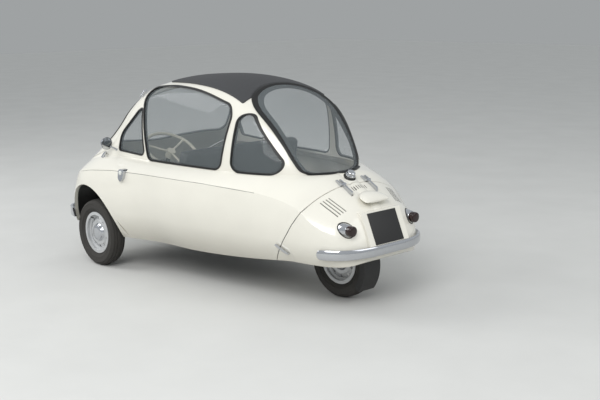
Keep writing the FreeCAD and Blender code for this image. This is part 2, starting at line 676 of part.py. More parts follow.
# Door hinges on the sloping axis, and lid hinges across the deck
axis = (V(*DOOR_HINGES[1]) - V(*DOOR_HINGES[0])).normalize()
arms = []
brackets = []
for place in DOOR_HINGES:
    centre = V(*place)
    low = centre - axis * (HINGE_LENGTH / 2)
    body_half = Part.makeCylinder(HINGE_RADIUS, HINGE_LENGTH / 2 - PIN_GAP / 2, low, axis)
    door_half = Part.makeCylinder(HINGE_RADIUS, HINGE_LENGTH / 2 - PIN_GAP / 2,
                                  centre + axis * (PIN_GAP / 2), axis)
    inward = V(0, -1, 0)
    inward = (inward - axis * inward.dot(axis)).normalize()
    ahead = axis.cross(inward) * (1 if axis.cross(inward).x > 0 else -1)
    for half, start, way, store in ((body_half, low, -1, brackets), (door_half, centre, 1, arms)):
        reach = (inward * 1.0 + ahead * way * 0.8).normalize()
        mid_point = half.CenterOfMass
        strap = Part.makeCylinder(7, 62, mid_point, reach)
        store.append(joined([half, strap]).cut(SEATED if store is arms else OUTER).Solids[0])
hinge_x, hinge_z = LID_AXIS
lid_arms = []
for s in (1, -1):
    y = s * LID_HINGE_Y
    knuckle = rod((hinge_x, y - 8, hinge_z), (hinge_x, y + 8, hinge_z), LID_KNUCKLE_RADIUS)
    strap = side_prism(((hinge_x + 2, hinge_z + 7, 0), (hinge_x - 76, hinge_z - 36, 4),
                        (hinge_x - 76, hinge_z - 80, 0), (hinge_x - 9, hinge_z - 40, 0)),
                       y - 7, y + 7)
    lid_arms.append(joined([knuckle, strap.cut(OUTER)]))
    for low, high in ((y - 20, y - 8.5), (y + 8.5, y + 20)):
        knuckle = rod((hinge_x, low, hinge_z), (hinge_x, high, hinge_z), LID_KNUCKLE_RADIUS)
        foot = side_prism(((hinge_x + 3, hinge_z + 6, 0), (hinge_x + 44, hinge_z + 26, 4),
                           (hinge_x + 40, hinge_z - 20, 0), (hinge_x + 3, hinge_z - 30, 0)),
                          low, high)
        brackets.append(joined([knuckle, foot.cut(OUTER)]))
save("door_hinge_arms", arms)
save("lid_hinge_arms", lid_arms)
save("hinge_brackets", brackets)

# Handle on the right-hand side of the door
handle = joined([rod((1090, -395, 690), (1130, -405, 715), 9),
                 rod((1128, -340, 730), (1132, -470, 694), 10)])
save("door_handle", handle.cut(OUTER))

# Wheel arch liners close the body round the front wheels
liners = []
for s in (1, -1):
    drum = arch_prism(s * (ARCH_INNER - ARCH_METAL), s * y1)
    drum = drum.cut(arch_prism(s * ARCH_INNER, s * (y1 + 1), ARCH_METAL))
    liners.append(drum.common(INSIDE).cut(box(0, 1500, -y1, y1, 0, LINER_FOOT)))
save("wheel_arch_liners", liners)

# Floor, bulkhead and shelf inside the wall
pan = layer(INSIDE, ABOVE_FLOOR, box(-430, 1045, -430, 430, 200, 300))
for s in (1, -1):
    pan = pan.cut(arch_prism(s * (ARCH_INNER - ARCH_METAL - SEAT_GAP), s * y1, 0, SEAT_GAP))
save("floor_pan", pan)
bulkhead = box(BULKHEAD_X - PANEL_THICK, BULKHEAD_X, -y1, y1, 200, SHELF_Z)
shelf = box(SHELF_END, BULKHEAD_X, -y1, y1, SHELF_Z, SHELF_Z + PANEL_THICK)
upright = box(SHELF_END, SHELF_END + PANEL_THICK, -y1, y1, SHELF_Z, 900)
panels = joined([bulkhead, shelf, upright]).common(INSIDE)
save("rear_bulkhead", panels.cut(pan))

# Seats
cushion = side_prism(SEAT_CUSHION, -SEAT_Y, SEAT_Y).common(INSIDE)
save("seat_cushion", cushion)
save("seat_back", side_prism(SEAT_BACK, -SEAT_BACK_Y, SEAT_BACK_Y).common(INSIDE))
rear_seat = side_prism(REAR_SEAT, -REAR_SEAT_Y, REAR_SEAT_Y).common(INSIDE)
save("rear_seat", rear_seat)
legs = [rod((150, s * 300, 255), (150, s * 300, 330), 12) for s in (1, -1)]
legs += [rod((500, s * 300, 255), (500, s * 300, 330), 12) for s in (1, -1)]
legs += [rod((-140, s * 300, 255), (-140, s * 300, 410), 12) for s in (1, -1)]
rails = [box(130, 540, s * 300 - 12, s * 300 + 12, 318, 336) for s in (1, -1)]
props = [rod((118, s * 300, 326), (60, s * 300, 560), 12) for s in (1, -1)]
frame = joined(legs[:4] + rails + props).Solids + legs[4:]
backrest = side_prism(SEAT_BACK, -SEAT_BACK_Y, SEAT_BACK_Y)
trimmed = []
for solid in frame:
    for cutter in (cushion, rear_seat, backrest):
        solid = solid.cut(cutter)
    trimmed += solid.common(ABOVE_FLOOR).Solids
save("seat_frame", trimmed)

# Steering
foot = V(*STEER_FOOT)
hub = V(*STEER_HUB)
way = (hub - foot).normalize()
column = Part.makeCylinder(14, (hub - foot).Length - 30, foot, way)
pod = Part.makeCylinder(62, 46, foot + way * 420, way)
save("steering_column", joined([column, pod, rod((640, 250, 640), (740, 100, 330), 12)]))
ring = Part.makeTorus(STEER_RADIUS, STEER_RIM, hub + way * 22, way)
boss = Part.makeCylinder(30, 52, hub - way * 29.5, way)
across = V(0, 1, 0)
upward = way.cross(across)
spokes = []
for angle in (90, 210, 330):
    a = math.radians(angle)
    reach = across * math.cos(a) + upward * math.sin(a)
    spokes.append(Part.makeCylinder(8, STEER_RADIUS, hub + way * 8, (reach + way * 0.07).normalize()))
save("steering_wheel", joined([ring, boss] + spokes))
pedals = []
for y in (330, 230, 150):
    pedals.append(joined([box(948, 960, y - 28, y + 28, 330, 390), rod((954, y, 200), (954, y, 340), 8)]))
lever = joined([rod((650, 60, 255), (610, 60, 470), 9), Part.makeSphere(20, V(608, 60, 480))])
save("floor_controls", [shape.common(ABOVE_FLOOR) for shape in pedals])
save("gear_lever", lever.common(ABOVE_FLOOR).cut(cushion))

# Front axle beam, knuckles and wheels
beam_z = TYRE_RADIUS - BEAM_DROP
kp_low = TYRE_RADIUS - KNUCKLE_HEIGHT / 2
kp_high = TYRE_RADIUS + KNUCKLE_HEIGHT / 2
web_y = PIN_Y - KNUCKLE_RADIUS - 16
beam = [rod((FRONT_X, -web_y, beam_z), (FRONT_X, web_y, beam_z), BEAM_RADIUS)]
for s in (1, -1):
    ys = sorted((s * web_y, s * (web_y + 10)))
    beam.append(box(FRONT_X - 22, FRONT_X + 22, ys[0], ys[1], kp_low - YOKE_PLATE, kp_high + YOKE_PLATE))
    ys = sorted((s * web_y, s * (PIN_Y + 16)))
    for z in (kp_low - YOKE_PLATE, kp_high + 0.5):
        plate = box(FRONT_X - 22, FRONT_X + 22, ys[0], ys[1], z, z + YOKE_PLATE - 0.5)
        beam.append(plate.cut(rod((FRONT_X, s * PIN_Y, 0), (FRONT_X, s * PIN_Y, 400),
                                  KINGPIN_RADIUS + PIN_GAP)))
    beam.append(box(FRONT_X - 45, FRONT_X + 45, s * 300 - 25, s * 300 + 25, beam_z, 290).cut(INSIDE))
save("front_axle", joined(beam))
for name, s in (("left", 1), ("right", -1)):
    post = rod((FRONT_X, s * PIN_Y, kp_low), (FRONT_X, s * PIN_Y, kp_high), KNUCKLE_RADIUS)
    pin = rod((FRONT_X, s * PIN_Y, kp_low - 20), (FRONT_X, s * PIN_Y, kp_high + 20), KINGPIN_RADIUS)
    stub = rod((FRONT_X, s * PIN_Y, TYRE_RADIUS), (FRONT_X, s * (HUB_Y + 12), TYRE_RADIUS), STUB_RADIUS)
    save("knuckle_" + name, joined([post, pin, stub]))
    save("front_tyre_" + name, tyre(FRONT_X, s * HUB_Y))
    save("front_rim_" + name, rim(FRONT_X, s * HUB_Y, s))
save("rear_tyre", tyre(REAR_X, 0))
save("rear_rim", rim(REAR_X, 0, 1))

# Rear swinging arm, mudguard and engine
ay0, ay1 = ARM_Y
px, pz = ARM_PIVOT
arm = side_prism(((px + 26, pz + 22, 20), (px + 26, pz - 22, 20), (REAR_X - 26, TYRE_RADIUS - 24, 22),
                  (REAR_X - 26, TYRE_RADIUS + 24, 22)), ay0, ay1)
stub = rod((REAR_X, ay1 - 1, TYRE_RADIUS), (REAR_X, 12, TYRE_RADIUS), STUB_RADIUS)
arm = joined([arm, stub, rod((REAR_X, ay0 - 14, TYRE_RADIUS), (REAR_X, ay0 + 1, TYRE_RADIUS), 20)])
pivot = joined([rod((px, ay0 - 30, pz), (px, ay1 + 30, pz), 12),
                box(px, BULKHEAD_X - PANEL_THICK, ay0 - 30, ay0 - 14, pz - 30, pz + 30),
                box(px, BULKHEAD_X - PANEL_THICK, ay1 + 14, ay1 + 30, pz - 30, pz + 30)])
save("rear_arm", joined([arm, pivot]))
r0, r1 = GUARD_RADIUS, GUARD_RADIUS + GUARD_METAL
h = GUARD_HALF
ring = rod((REAR_X, -h, TYRE_RADIUS), (REAR_X, h, TYRE_RADIUS), r1)
ring = ring.cut(rod((REAR_X, 3 - h, TYRE_RADIUS), (REAR_X, h - 3, TYRE_RADIUS), r0))
ring = ring.cut(rod((REAR_X, -h - 1, TYRE_RADIUS), (REAR_X, h + 1, TYRE_RADIUS), r0 - GUARD_LIP))
sector = side_prism(((REAR_X, TYRE_RADIUS, 0), (REAR_X + 60, 700, 0), (REAR_X - 700, 700, 0),
                     (REAR_X - 500, TYRE_RADIUS - 400, 0)), -h - 1, h + 1)
stay = box(REAR_X - 30, REAR_X + 10, ay1 - 12, -h + 1, TYRE_RADIUS + 20, TYRE_RADIUS + r0 - 10)
guard = joined([ring.common(sector), stay])
save("rear_mudguard", guard.cut(arm))
x0, x1, ya, yb, za, zb = ENGINE
block = box(x0, x1, ya, yb, za, zb).common(INSIDE)
save("engine_block", joined([block, box(x1 - 1, BULKHEAD_X - PANEL_THICK, ya + 60, yb - 60, 400, 440)]))
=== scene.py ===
import json
import math

import bpy
from mathutils import Matrix, Vector

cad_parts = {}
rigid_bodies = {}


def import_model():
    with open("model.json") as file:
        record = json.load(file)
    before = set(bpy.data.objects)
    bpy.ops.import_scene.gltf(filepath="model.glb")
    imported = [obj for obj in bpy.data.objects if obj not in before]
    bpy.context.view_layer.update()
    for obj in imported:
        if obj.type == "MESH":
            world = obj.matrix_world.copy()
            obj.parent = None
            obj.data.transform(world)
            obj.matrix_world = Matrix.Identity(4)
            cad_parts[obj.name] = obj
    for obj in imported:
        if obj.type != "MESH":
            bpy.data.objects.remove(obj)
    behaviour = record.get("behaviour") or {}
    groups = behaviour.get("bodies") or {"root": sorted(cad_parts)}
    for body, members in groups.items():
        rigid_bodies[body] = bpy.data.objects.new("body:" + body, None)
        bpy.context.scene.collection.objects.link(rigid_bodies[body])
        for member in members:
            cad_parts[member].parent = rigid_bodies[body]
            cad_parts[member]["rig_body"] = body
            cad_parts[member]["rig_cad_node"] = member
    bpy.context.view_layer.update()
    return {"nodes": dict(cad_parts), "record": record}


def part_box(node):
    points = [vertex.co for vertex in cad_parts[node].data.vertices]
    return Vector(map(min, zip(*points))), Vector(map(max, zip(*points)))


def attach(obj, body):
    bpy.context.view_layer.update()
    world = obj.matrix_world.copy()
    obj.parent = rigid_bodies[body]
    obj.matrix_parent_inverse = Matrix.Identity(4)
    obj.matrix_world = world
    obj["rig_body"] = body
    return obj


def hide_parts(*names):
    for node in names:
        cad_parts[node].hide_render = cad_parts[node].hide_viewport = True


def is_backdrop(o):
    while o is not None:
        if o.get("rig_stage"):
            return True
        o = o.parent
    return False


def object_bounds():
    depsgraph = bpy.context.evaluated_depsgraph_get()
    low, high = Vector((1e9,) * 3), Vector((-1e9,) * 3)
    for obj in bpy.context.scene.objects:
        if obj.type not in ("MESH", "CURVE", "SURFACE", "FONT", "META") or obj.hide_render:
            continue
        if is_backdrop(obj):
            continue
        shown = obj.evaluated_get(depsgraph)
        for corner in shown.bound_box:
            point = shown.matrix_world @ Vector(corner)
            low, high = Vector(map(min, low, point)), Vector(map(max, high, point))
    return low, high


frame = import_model()
nodes = frame["nodes"]

# Camera of the photograph, in metres and degrees, in the car's frame
CAMERA_AT = (-5.13294, 4.30415, 1.79313)
CAMERA_TURN = 42.90
CAMERA_PITCH = 11.11
CAMERA_ROLL = -0.80
LENS_MM = 60.96

# Road dust low down on the paint: its colour, and the heights between which it fades
DUST = "#8d8677"
DUST_FROM, DUST_TO = 0.26, 0.42
# Tone of the darker grain in every finish, against the lighter
DARKER_GRAIN = 0.88
# Angles in radians past which an edge is rounded, or shaded hard
HARD_EDGE = 0.6
BEAD_EDGE = 0.9
SIDES = (("left", 1), ("right", -1))


def colour(code):
    """Hex colour to linear values."""
    parts = [int(code[i:i + 2], 16) / 255 for i in (1, 3, 5)]
    return [v / 12.92 if v <= 0.04045 else ((v + 0.055) / 1.055) ** 2.4 for v in parts] + [1.0]


def add(tree, kind, **inputs):
    """One shader node with its input values set."""
    node = tree.nodes.new(kind)
    for name, value in inputs.items():
        node.inputs[name.replace("_", " ")].default_value = value
    return node


def finish_of(name, code, roughness, metallic=0.0, coat=0.0, spread=0.05, grain_mm=16.67, bump=0.0,
              alpha=1.0, grime=0.0):
    """Finish whose tone and gloss vary with a grain of real size; bump and road dust are optional."""
    material = bpy.data.materials.new(name)
    material.use_nodes = True
    tree = material.node_tree
    shader = tree.nodes["Principled BSDF"]
    place = add(tree, "ShaderNodeTexCoord")
    noise = add(tree, "ShaderNodeTexNoise", Scale=round(1000 / grain_mm), Detail=4.0)
    tree.links.new(place.outputs["Object"], noise.inputs["Vector"])
    tones = add(tree, "ShaderNodeMapRange", To_Min=roughness - spread, To_Max=roughness + spread)
    tree.links.new(noise.outputs["Fac"], tones.inputs["Value"])
    tree.links.new(tones.outputs["Result"], shader.inputs["Roughness"])
    darker = [v * DARKER_GRAIN for v in colour(code)[:3]] + [1.0]
    shade = add(tree, "ShaderNodeMixRGB", Color1=colour(code), Color2=darker)
    tree.links.new(noise.outputs["Fac"], shade.inputs["Fac"])
    tree.links.new(shade.outputs["Color"], shader.inputs["Base Color"])
    if grime:
        height = add(tree, "ShaderNodeSeparateXYZ")
        tree.links.new(place.outputs["Object"], height.inputs["Vector"])
        low_down = add(tree, "ShaderNodeMapRange", From_Min=DUST_FROM, From_Max=DUST_TO,
                       To_Min=grime, To_Max=0.0)
        tree.links.new(height.outputs["Z"], low_down.inputs["Value"])
        dirty = add(tree, "ShaderNodeMixRGB", Color2=colour(DUST))
        tree.links.new(low_down.outputs["Result"], dirty.inputs["Fac"])
        tree.links.new(shade.outputs["Color"], dirty.inputs["Color1"])
        tree.links.new(dirty.outputs["Color"], shader.inputs["Base Color"])
    shader.inputs["Metallic"].default_value = metallic
    shader.inputs["Coat Weight"].default_value = coat
    shader.inputs["Alpha"].default_value = alpha
    if bump:
        rough = add(tree, "ShaderNodeBump", Strength=bump, Distance=0.001)
        tree.links.new(noise.outputs["Fac"], rough.inputs["Height"])
        tree.links.new(rough.outputs["Normal"], shader.inputs["Normal"])
    return material


# Sprayed cellulose paint: off-white, soft broad highlights, dusty along the bottom edge
PAINT = finish_of("off-white body paint", "#e4e1d6", 0.22, coat=0.5, grain_mm=333.3, grime=0.35)
# Rubberised cotton: dark and matt, with a thread of about a millimetre that breaks up the light
CLOTH = finish_of("grey roof cloth", "#3a3b3d", 0.75, grain_mm=1.111, bump=0.3)
# Clear acrylic pane: sharp reflections over a light grey veil
GLASS = finish_of("window pane", "#98a1a4", 0.03, alpha=0.17, spread=0.01)
# Extruded rubber: near black with a dull sheen
SEAL = finish_of("black gasket", "#121212", 0.5, grain_mm=5.0)
# Chromed steel: bright mirror with a slight haze
CHROME = finish_of("bright trim", "#c9cbcf", 0.12, metallic=1.0)
# Aluminium paint on pressed wheels: pale satin grey with some dust
SILVER = finish_of("silver wheel paint", "#c6c8ca", 0.3, metallic=0.35, grime=0.12)
# Moulded tyre rubber: worn, brown-grey and matt; its 3 mm grain is coarser than real, to show
TYRE = finish_of("tyre rubber", "#34322f", 0.85, grain_mm=3.333, bump=0.2)
# Moulded red lens, nearly black while it is unlit
RED = finish_of("red lens", "#1e0403", 0.2, coat=0.2)
# Pressed lamp glass: pale, with a wet gloss
LENS = finish_of("clear lens", "#d8dad6", 0.1, coat=0.6)
# Grained seat cloth: black with a low sheen; its grain is coarser than real, to show
SEAT = finish_of("black seat cover", "#1d1d1f", 0.55, grain_mm=2.5, bump=0.25)
# Brushed-on chassis paint: black with a half gloss
CHASSIS = finish_of("black chassis paint", "#161616", 0.45)
# Moulded hard plastic: ivory with a soft gloss
IVORY = finish_of("ivory plastic", "#d7d2c0", 0.35)
# Flat black that gives back no light: strips of it under the louvres and deck slots are painted
# shade, and the rubber strip in the lid's shut line is this black too
SHADE_AND_JOINT_BLACK = finish_of("black for painted shade and shut joint", "#030303", 0.9)
# Sand-cast iron: grey with a 2 mm grain
IRON = finish_of("grey casting", "#4a4b4c", 0.6, metallic=0.4, grain_mm=2.0, bump=0.4)

FINISHES = {
    "body_paint": PAINT, "dark_fabric": CLOTH, "glass": GLASS, "seal": SEAL, "bright_metal": CHROME,
    "alloy": SILVER, "tyre": TYRE, "wheel_paint": SILVER, "lamp_red": RED, "lamp_clear": LENS,
    "seat_cover": SEAT, "chassis": CHASSIS, "control_plastic": IVORY, "iron": IRON,
}
for entry in frame["record"]["subparts"]:
    mesh = nodes[entry["node"]].data
    mesh.materials.clear()
    mesh.materials.append(FINISHES[entry["material_slot"]])


def select_none():
    bpy.ops.object.select_all(action="DESELECT")


def edit_all():
    """Edit mode with the whole mesh selected."""
    bpy.ops.object.mode_set(mode="EDIT")
    bpy.ops.mesh.select_all(action="SELECT")


def outwards():
    """Turn all faces outwards and leave edit mode."""
    bpy.ops.mesh.select_all(action="SELECT")
    bpy.ops.mesh.normals_make_consistent(inside=False)
    bpy.ops.object.mode_set(mode="OBJECT")


def settle(name, body, material):
    """Name the active object, keep its place in its mesh, and let it ride on a CAD body."""
    piece = bpy.context.object
    piece.name = name
    piece.data.name = name
    bpy.ops.object.transform_apply(location=True, rotation=True, scale=True)
    piece.data.materials.clear()
    piece.data.materials.append(material)
    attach(piece, body)
    return piece


def apply_all(piece):
    for modifier in list(piece.modifiers):
        bpy.ops.object.modifier_apply(modifier=modifier.name)


def soften(piece, width, segments=3):
    """Round the hard edges and shade the rest smooth."""
    edge = piece.modifiers.new("edge", "BEVEL")
    edge.width = width
    edge.segments = segments
    edge.limit_method = "ANGLE"
    edge.angle_limit = HARD_EDGE
    apply_all(piece)
    bpy.ops.object.shade_smooth_by_angle(angle=HARD_EDGE)


def turned(name, profile, at, axis, body, material, sides=48, fill="NGON", width=0.0012):
    """Round piece: a disc or ring drawn out along its axis through (radius, height) pairs."""
    select_none()
    start, base = profile[0]
    bpy.ops.mesh.primitive_circle_add(vertices=sides, radius=start, fill_type=fill,
                                      location=(0, 0, base))
    bpy.ops.object.transform_apply(location=True)
    edit_all()
    for (r0, h0), (r1, h1) in zip(profile, profile[1:]):
        bpy.ops.mesh.extrude_region_move(TRANSFORM_OT_translate={"value": (0, 0, h1 - h0)})
        bpy.ops.transform.resize(value=(r1 / r0, r1 / r0, 1), center_override=(0, 0, h1))
    outwards()
    piece = bpy.context.object
    turn_to = Vector(axis).normalized().to_track_quat("Z", "Y").to_matrix().to_4x4()
    piece.matrix_world = Matrix.Translation(at) @ turn_to
    settle(name, body, material)
    soften(piece, width, 2)
    return piece


def skin_point(names, start, way):
    """Where a straight line first meets the CAD skin, and the way that the skin faces there."""
    start, way = Vector(start), Vector(way)
    found = []
    for name in names:
        hit, at, normal, _ = nodes[name].ray_cast(start, way)
        if hit:
            found.append(((at - start).length, at.copy(), normal.copy()))
    return min(found, key=lambda item: item[0])[1:] if found else None


def bead(name, points, radius, body, material, closed=False, swell=None, tall=1.0):
    """Bead or bar that follows a line of points; swell gives its thickness at each point."""
    select_none()
    section = None
    if tall != 1.0:
        bpy.ops.curve.primitive_nurbs_circle_add(radius=radius)
        section = bpy.context.object
        section.scale = (1, tall, 1)
        bpy.ops.object.transform_apply(scale=True)
        select_none()
    bpy.ops.curve.primitive_nurbs_path_add()
    piece = bpy.context.object
    curve = piece.data
    spline = curve.splines[0]
    spline.points.add(len(points) - len(spline.points))
    for i, (point, at) in enumerate(zip(spline.points, points)):
        point.co = (*at, 1)
        point.radius = swell[i] if swell else 1.0
    spline.order_u = 3
    spline.use_cyclic_u = closed
    spline.use_endpoint_u = not closed
    curve.twist_mode = "Z_UP"
    curve.use_fill_caps = not closed
    if section:
        curve.bevel_mode = "OBJECT"
        curve.bevel_object = section
    else:
        curve.bevel_depth = radius
        curve.bevel_resolution = 2
    curve.resolution_u = 3
    bpy.ops.object.convert(target="MESH")
    settle(name, body, material)
    bpy.ops.object.shade_smooth_by_angle(angle=BEAD_EDGE)
    if section:
        bpy.data.objects.remove(section)
    return piece


def drawn_out(name, stations, body, material, sides=40):
    """Closed fairing drawn out backwards through (x, half width, middle height, half height)."""
    select_none()
    x, wide, z, high = stations[0]
    bpy.ops.mesh.primitive_circle_add(vertices=sides, radius=1, fill_type="NGON")
    piece = bpy.context.object
    stretch = Matrix.Diagonal((1, wide, high, 1))
    upright = Matrix.Rotation(math.pi / 2, 4, "Y")
    piece.matrix_world = Matrix.Translation((x, 0, z)) @ stretch @ upright
    bpy.ops.object.transform_apply(location=True, rotation=True, scale=True)
    edit_all()
    for (x0, w0, z0, h0), (x1, w1, z1, h1) in zip(stations, stations[1:]):
        bpy.ops.mesh.extrude_region_move(TRANSFORM_OT_translate={"value": (x1 - x0, 0, z1 - z0)})
        bpy.ops.transform.resize(value=(1, w1 / w0, h1 / h0), center_override=(x1, 0, z1))
    outwards()
    settle(name, body, material)
    bpy.ops.object.shade_smooth_by_angle(angle=BEAD_EDGE)
    return piece


def block(name, size, at, turn_y, body, material, width=0.004):
    """Box with rounded edges, tipped about the Y axis."""
    select_none()
    bpy.ops.mesh.primitive_cube_add(size=1)
    piece = bpy.context.object
    piece.scale = size
    bpy.ops.object.transform_apply(scale=True)
    piece.matrix_world = Matrix.Translation(at) @ Matrix.Rotation(turn_y, 4, "Y")
    settle(name, body, material)
    soften(piece, width)
    return piece


# Grid cuts across a cushion, and how deep its seams are drawn in
PAD_CUTS = 31
SEAM_DEPTH = 0.010


def pad(name, low, high, seams, crown, turn_y, at, body, node):
    """Sewn cushion: a block cut into a grid, crowned, drawn in along its seams and rounded."""
    select_none()
    bpy.ops.mesh.primitive_cube_add(size=1)
    piece = bpy.context.object
    piece.scale = (high[0] - low[0], high[1] - low[1], high[2] - low[2])
    bpy.ops.object.transform_apply(scale=True)
    edit_all()
    bpy.ops.mesh.subdivide(number_cuts=PAD_CUTS)
    bpy.ops.object.mode_set(mode="OBJECT")
    half = [(h - l) / 2 for l, h in zip(low, high)]
    pitch = 2 * half[1] / (PAD_CUTS + 1)
    for vertex in piece.data.vertices:
        x, y, z = vertex.co
        u, v, w = x / half[0], y / half[1], z / half[2]
        rise = crown * (1 - u ** 4) * (1 - v ** 4)
        near = min(abs(y - seam * half[1]) for seam in seams)
        if w > 0.9:
            vertex.co.z += rise - (SEAM_DEPTH if near < pitch * 0.6 else 0.0)
        vertex.co.x *= 1 - 0.05 * w ** 2
        vertex.co.y *= 1 - 0.02 * w ** 2
    smooth = piece.modifiers.new("round", "SMOOTH")
    smooth.iterations = 6
    smooth.factor = 0.5
    finer = piece.modifiers.new("finer", "SUBSURF")
    finer.levels = 1
    apply_all(piece)
    piece.matrix_world = Matrix.Translation(at) @ Matrix.Rotation(turn_y, 4, "Y")
    settle(name, body, SEAT)
    bpy.ops.object.shade_smooth()
    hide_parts(node)
    return piece


# Number plate: a blank black board on the sloping panel
PLATE_AT = (-1.2325, 0.0, 0.493)
PLATE_SIZE = (0.003, 0.240, 0.190)
PLATE_LEAN = math.atan2(0.081, 0.190)
block("number_plate", PLATE_SIZE, PLATE_AT, PLATE_LEAN, "engine_lid", SEAL, 0.001)

# Tail lamps: polished bullet shell on a rubber ring, with a short dark red lens
TAIL_LAMP_Y, TAIL_LAMP_Z = 0.270, 0.504
TAIL_SHELL = [(0.034, 0.0), (0.039, 0.012), (0.041, 0.028), (0.040, 0.045), (0.037, 0.062),
              (0.0335, 0.079)]
TAIL_LENS = [(0.0315, 0.0), (0.0315, 0.030), (0.030, 0.036), (0.026, 0.038), (0.010, 0.0385)]
RING_POINTS, RING_RADIUS = 28, 0.0415
for side_name, way in SIDES:
    y = way * TAIL_LAMP_Y
    shell = turned("tail_lamp_shell_" + side_name, TAIL_SHELL, (-1.120, y, TAIL_LAMP_Z), (-1, 0, 0),
                   "engine_lid", CHROME)
    turned("tail_lamp_lens_" + side_name, TAIL_LENS, (-1.196, y, TAIL_LAMP_Z), (-1, 0, 0),
           "engine_lid", RED)
    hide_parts("tail_lamps")
    ring = []
    for i in range(RING_POINTS):
        angle = math.tau * i / RING_POINTS
        out, up = math.cos(angle) * RING_RADIUS, math.sin(angle) * RING_RADIUS
        met = skin_point(["engine_lid"], (-2, y + out, TAIL_LAMP_Z + up), (1, 0, 0))
        if met:
            ring.append(met[0])
    bead("tail_lamp_ring_" + side_name, ring, 0.0032, "engine_lid", SEAL, closed=True)

# Tyres: moulded sidewalls and a tread with four grooves, one piece for each wheel
AXLE_X, AXLE_Z, TRACK_Y = 0.880, 0.230, 0.610
HALF_TYRE = [(0.1275, 0.0355), (0.1500, 0.0370), (0.1560, 0.0430), (0.1620, 0.0455),
             (0.1700, 0.0520), (0.1710, 0.0535), (0.1740, 0.0535), (0.1750, 0.0528),
             (0.1880, 0.0556), (0.2020, 0.0550), (0.2030, 0.0560), (0.2060, 0.0558),
             (0.2070, 0.0540), (0.2180, 0.0480), (0.2215, 0.0440), (0.2245, 0.0380),
             (0.2200, 0.0370), (0.2200, 0.0330), (0.2265, 0.0320), (0.2290, 0.0180),
             (0.2240, 0.0170), (0.2240, 0.0130), (0.2298, 0.0120)]
TYRE_SHAPE = [(r, -h) for r, h in HALF_TYRE] + [(r, h) for r, h in reversed(HALF_TYRE)]
HUB_CAP = [(0.0625, 0.0), (0.0625, 0.004), (0.0560, 0.011), (0.0545, 0.012), (0.0520, 0.0195),
           (0.0420, 0.0235), (0.0280, 0.0262), (0.0120, 0.0272)]
VALVE = [(0.004, 0.0), (0.004, 0.020), (0.003, 0.022)]
WHEELS = (("front_left", AXLE_X, TRACK_Y, "left_wheel", "front_tyre_left", 1),
          ("front_right", AXLE_X, -TRACK_Y, "right_wheel", "front_tyre_right", -1),
          ("rear", -AXLE_X, 0.0, "rear_wheel", "rear_tyre", 1))
for wheel, x, y, wheel_body, tyre_node, outward in WHEELS:
    rubber = turned(wheel + "_tread", TYRE_SHAPE, (x, y, AXLE_Z), (0, 1, 0), wheel_body, TYRE,
                    96, "NOTHING", 0.0006)
    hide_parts(tyre_node)
    turned(wheel + "_hub_cap", HUB_CAP, (x, y + outward * 0.0172, AXLE_Z), (0, outward, 0),
           wheel_body, CHROME, 64)
    turned(wheel + "_valve", VALVE, (x + 0.060, y + outward * 0.022, AXLE_Z + 0.092),
           (0.3, outward, 0.45), wheel_body, SEAL, 12)

# Roof cloth: one sheet, stretched over the roof opening
select_none()
nodes["fabric_roof"].select_set(True)
bpy.context.view_layer.objects.active = nodes["fabric_roof"]
bpy.ops.object.duplicate()
cloth = bpy.context.object
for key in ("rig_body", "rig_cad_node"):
    if key in cloth:
        del cloth[key]
edit_all()
bpy.ops.mesh.remove_doubles(threshold=0.0001)
bpy.ops.mesh.subdivide(number_cuts=2)
bpy.ops.object.mode_set(mode="OBJECT")
settle("roof_cloth", "body", CLOTH)
bpy.ops.object.shade_smooth_by_angle(angle=HARD_EDGE)
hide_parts("fabric_roof")

# Glass of the outside mirror
MIRROR_GLASS = [(0.0405, 0.0), (0.0405, 0.0012), (0.0390, 0.0016)]
turned("mirror_glass", MIRROR_GLASS, (0.7475, 0.616, 0.862), (-1, 0, 0), "body", CHROME)

# Lenses of the side lamps, and rims of the headlamps
SIDE_LENS = [(0.015, -0.010), (0.015, -0.003), (0.011, -0.0012), (0.005, -0.0002)]
HEADLAMP_RIM = [(0.072, 0.0), (0.0735, 0.006), (0.071, 0.012), (0.064, 0.0135)]
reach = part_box("side_indicators")[1].y
for side_name, way in SIDES:
    turned("side_lamp_" + side_name, SIDE_LENS, (0.482, way * reach, 0.700), (0, way, 0),
           "body", LENS, 32)
for side_name, way in SIDES:
    turned("headlamp_rim_" + side_name, HEADLAMP_RIM, (1.194, way * 0.514, 0.492), (1, 0, 0),
           "body", CHROME)

# Bright rear bumper: domed bolts on a blade with rounded ends, drawn as (rearward, sideways)
BUMPER_Z = 0.371
BOLT = [(0.009, 0.0), (0.008, 0.002), (0.004, 0.004)]
for y in (0.10, -0.10):
    turned("bumper_bolt_%d" % round(y * 100 + 100), BOLT, (-1.2735, y, BUMPER_Z), (-1, 0, 0),
           "engine_lid", CHROME, 20)
BLADE = ((1.2725, 0.0), (1.2725, 0.118), (1.2702, 0.150), (1.2660, 0.180), (1.2605, 0.209),
         (1.2540, 0.233), (1.2435, 0.264), (1.2315, 0.292), (1.2145, 0.320), (1.1925, 0.347),
         (1.1745, 0.363), (1.1310, 0.391), (1.0950, 0.4085), (1.0850, 0.4125), (1.0790, 0.4148))
BLADE_END = [0.35, 0.75, 0.95]
blade_line = [(-x, y, BUMPER_Z) for x, y in reversed(BLADE)]
blade_line += [(-x, -y, BUMPER_Z) for x, y in BLADE[1:]]
swell = BLADE_END + [1.0] * (len(blade_line) - 2 * len(BLADE_END)) + BLADE_END[::-1]
blade = bead("rear_bumper_blade", blade_line, 0.0088, "engine_lid", CHROME,
             swell=swell, tall=3.4)
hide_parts("rear_bumper")

